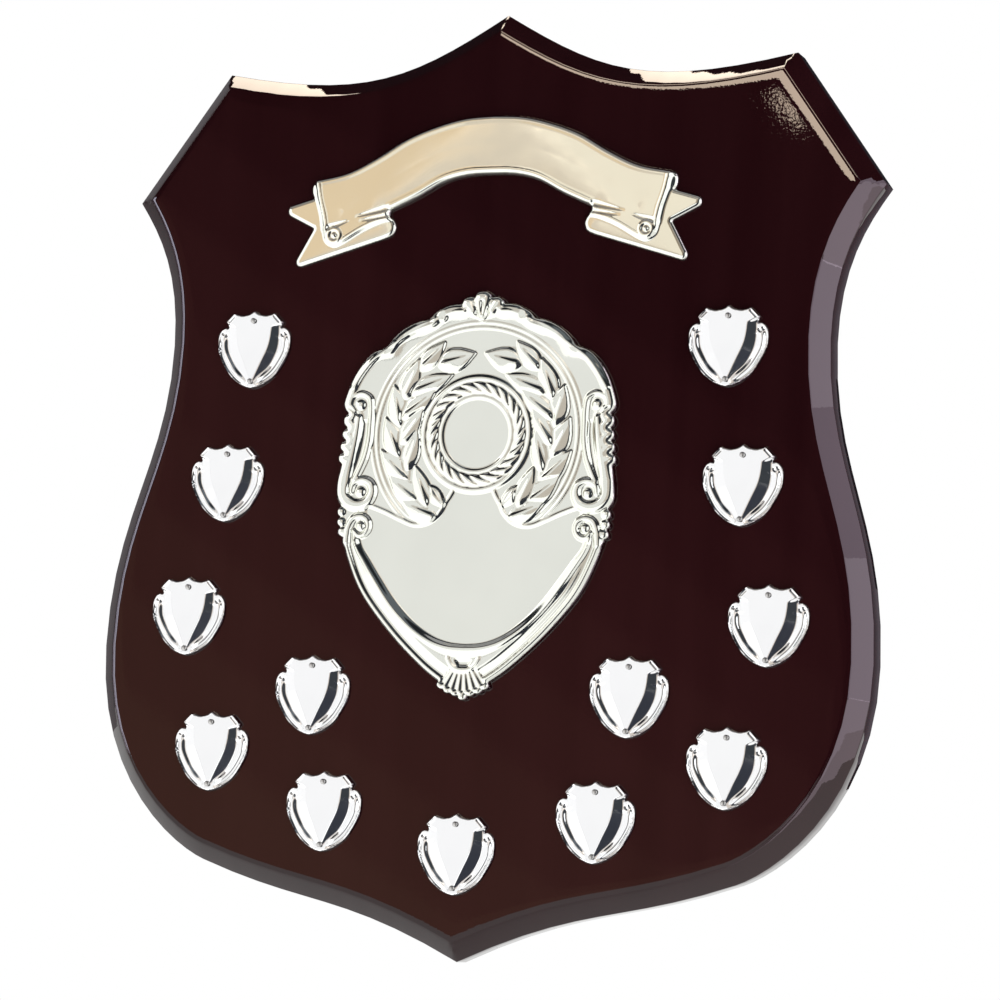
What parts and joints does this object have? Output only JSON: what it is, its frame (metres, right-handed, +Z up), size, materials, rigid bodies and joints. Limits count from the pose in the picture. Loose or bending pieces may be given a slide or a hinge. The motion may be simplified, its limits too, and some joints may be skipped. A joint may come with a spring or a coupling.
{
  "type": "award shield plaque",
  "caption": "Wall-hung award shield: a bevelled, lacquered wooden shield board with a stamped metal scroll, a large centre shield and small side shields, all bare for engraving.",
  "frame": {"origin": "on the board's flat back face, on its line of symmetry, behind the centre of the centre shield's round disc", "axes": "+X to the viewer's right, +Y out of the back towards the wall, +Z up towards the board's top point; the front looks along -Y"},
  "size_m": [0.2624, 0.0177, 0.305],
  "materials": {
    "lacquered_wood": "deep gloss lacquer over a very dark red mahogany stain",
    "silver_plate": "bright silver plate on stamped sheet, slightly warm",
    "nickel_plate": "mirror-bright nickel plate on stamped sheet",
    "steel_pin": "polished pin head"
  },
  "bodies": {
    "root": {"board": "lacquered_wood", "scroll": "silver_plate", "centre_shield": "silver_plate", "side_shield_01": "nickel_plate", "side_shield_02": "nickel_plate", "side_shield_03": "nickel_plate", "side_shield_04": "nickel_plate", "side_shield_05": "nickel_plate", "side_shield_06": "nickel_plate", "side_shield_07": "nickel_plate", "side_shield_08": "nickel_plate", "side_shield_09": "nickel_plate", "side_shield_10": "nickel_plate", "side_shield_11": "nickel_plate", "side_shield_12": "nickel_plate", "side_shield_13": "nickel_plate", "pin_01_top": "steel_pin", "pin_01_foot": "steel_pin", "pin_02_top": "steel_pin", "pin_02_foot": "steel_pin", "pin_03_top": "steel_pin", "pin_03_foot": "steel_pin", "pin_04_top": "steel_pin", "pin_04_foot": "steel_pin", "pin_05_top": "steel_pin", "pin_05_foot": "steel_pin", "pin_06_top": "steel_pin", "pin_06_foot": "steel_pin", "pin_07_top": "steel_pin", "pin_07_foot": "steel_pin", "pin_08_top": "steel_pin", "pin_08_foot": "steel_pin", "pin_09_top": "steel_pin", "pin_09_foot": "steel_pin", "pin_10_top": "steel_pin", "pin_10_foot": "steel_pin", "pin_11_top": "steel_pin", "pin_11_foot": "steel_pin", "pin_12_top": "steel_pin", "pin_12_foot": "steel_pin", "pin_13_top": "steel_pin", "pin_13_foot": "steel_pin"}
  },
  "joints": []
}
